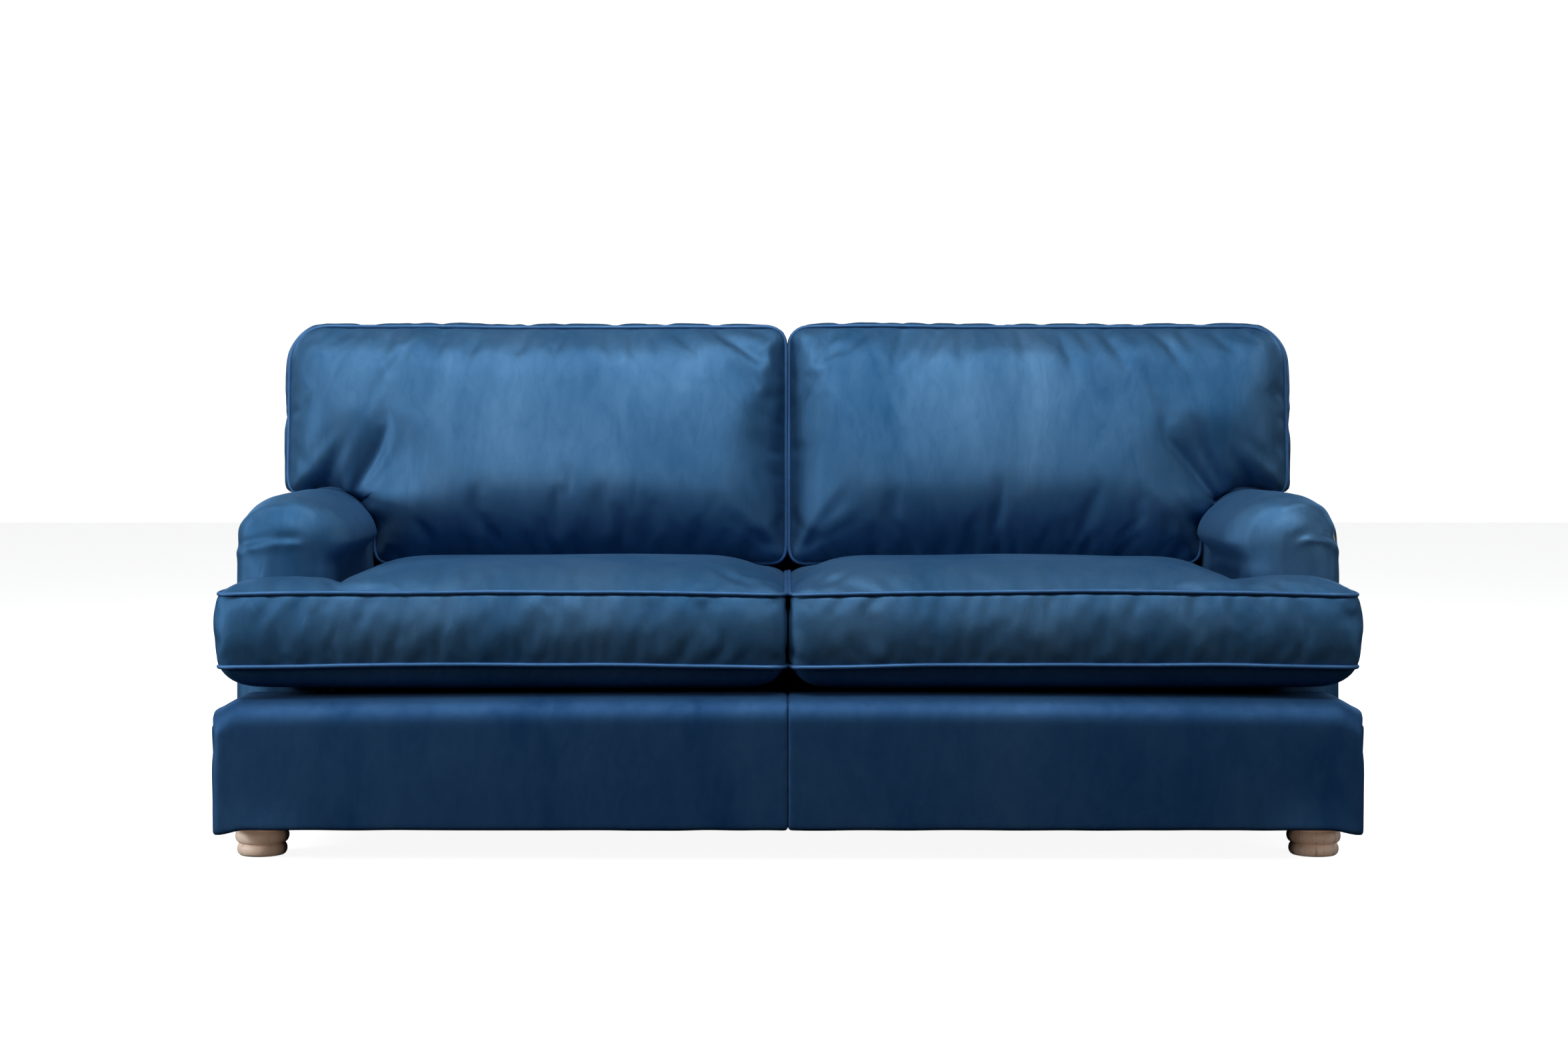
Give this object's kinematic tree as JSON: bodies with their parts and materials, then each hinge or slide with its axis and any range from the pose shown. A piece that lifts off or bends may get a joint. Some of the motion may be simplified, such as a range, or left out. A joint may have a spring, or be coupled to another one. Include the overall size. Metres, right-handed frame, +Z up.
{
  "type": "three-seat sofa",
  "caption": "English-arm sofa in velvet with loose piped seat and back cushions on turned bun feet.",
  "frame": {"origin": "on the floor under the middle of the sofa, at the centre of its outline from above", "axes": "+X across the sofa to the right as seen from its front, -Y out of its front, +Z up"},
  "size_m": [2.03, 0.95, 0.9712],
  "materials": {
    "beech": "planed",
    "plywood": "sanded",
    "hardboard": "smooth",
    "spring_steel": "oiled",
    "zinc_steel": "zinc plated",
    "hessian": "open weave",
    "webbing": "elastic weave",
    "padding": "foam and fibre",
    "deck_cloth": "plain weave",
    "dust_cloth": "spun cloth",
    "velvet": "velvet pile",
    "velvet_piping": "velvet pile",
    "limed_wood": "limed satin",
    "glide_plastic": "moulded",
    "zip_tape": "woven tape",
    "slider_steel": "nickel plated"
  },
  "bodies": {
    "frame": {"front_rail": "beech", "back_seat_rail": "beech", "side_rails": "beech", "seat_stretchers": "beech", "corner_blocks": "beech", "block_screws": "zinc_steel", "back_posts": "beech", "back_post_centre": "beech", "back_top_rail": "beech", "arm_boards": "plywood", "arm_top_bars": "beech", "tack_rails": "beech", "arm_panels": "hardboard", "outside_back_board": "hardboard", "seat_springs": "spring_steel", "spring_clips": "zinc_steel", "spring_hessian": "hessian", "deck_pad": "padding", "deck_cover": "deck_cloth", "back_webbing": "webbing", "inside_back_pad": "padding", "inside_back_cover": "velvet", "back_edge_pad": "padding", "outside_back_cover": "velvet", "arm_pad_left": "padding", "arm_pad_right": "padding", "arm_cover_left": "velvet", "arm_cover_right": "velvet", "front_border_pad": "padding", "border_cover_left": "velvet", "border_cover_right": "velvet", "dust_cover": "dust_cloth", "foot_front_left": "limed_wood", "foot_front_right": "limed_wood", "foot_back_left": "limed_wood", "foot_back_right": "limed_wood", "foot_bolts": "zinc_steel", "tee_nuts": "zinc_steel", "foot_glides": "glide_plastic"},
    "seat_cushion_left": {"seat_cover_left": "velvet", "seat_core_left": "padding", "seat_piping_left": "velvet_piping", "seat_zip_left": "zip_tape"},
    "seat_zip_slider_left": {"seat_zip_slider_left": "slider_steel"},
    "seat_cushion_right": {"seat_cover_right": "velvet", "seat_core_right": "padding", "seat_piping_right": "velvet_piping", "seat_zip_right": "zip_tape"},
    "seat_zip_slider_right": {"seat_zip_slider_right": "slider_steel"},
    "back_cushion_left": {"back_cover_left": "velvet", "back_core_left": "padding", "back_piping_left": "velvet_piping", "back_zip_left": "zip_tape"},
    "back_zip_slider_left": {"back_zip_slider_left": "slider_steel"},
    "back_cushion_right": {"back_cover_right": "velvet", "back_core_right": "padding", "back_piping_right": "velvet_piping", "back_zip_right": "zip_tape"},
    "back_zip_slider_right": {"back_zip_slider_right": "slider_steel"}
  },
  "joints": [
    {"name": "seat_cushion_left_slide", "type": "slide", "parent": "frame", "child": "seat_cushion_left", "axis": [0, -1, 0], "range_m": [0, 0.85]},
    {"name": "seat_cushion_right_slide", "type": "slide", "parent": "frame", "child": "seat_cushion_right", "axis": [0, -1, 0], "range_m": [0, 0.85]},
    {"name": "back_cushion_left_lift", "type": "slide", "parent": "frame", "child": "back_cushion_left", "axis": [0, 0, 1], "range_m": [0, 0.55]},
    {"name": "back_cushion_right_lift", "type": "slide", "parent": "frame", "child": "back_cushion_right", "axis": [0, 0, 1], "range_m": [0, 0.55]},
    {"name": "seat_zip_left_run", "type": "slide", "parent": "seat_cushion_left", "child": "seat_zip_slider_left", "axis": [-1, 0, 0], "range_m": [0, 0.49]},
    {"name": "seat_zip_right_run", "type": "slide", "parent": "seat_cushion_right", "child": "seat_zip_slider_right", "axis": [1, 0, 0], "range_m": [0, 0.49]},
    {"name": "back_zip_left_run", "type": "slide", "parent": "back_cushion_left", "child": "back_zip_slider_left", "axis": [-1, 0, 0], "range_m": [0, 0.49]},
    {"name": "back_zip_right_run", "type": "slide", "parent": "back_cushion_right", "child": "back_zip_slider_right", "axis": [1, 0, 0], "range_m": [0, 0.49]}
  ]
}
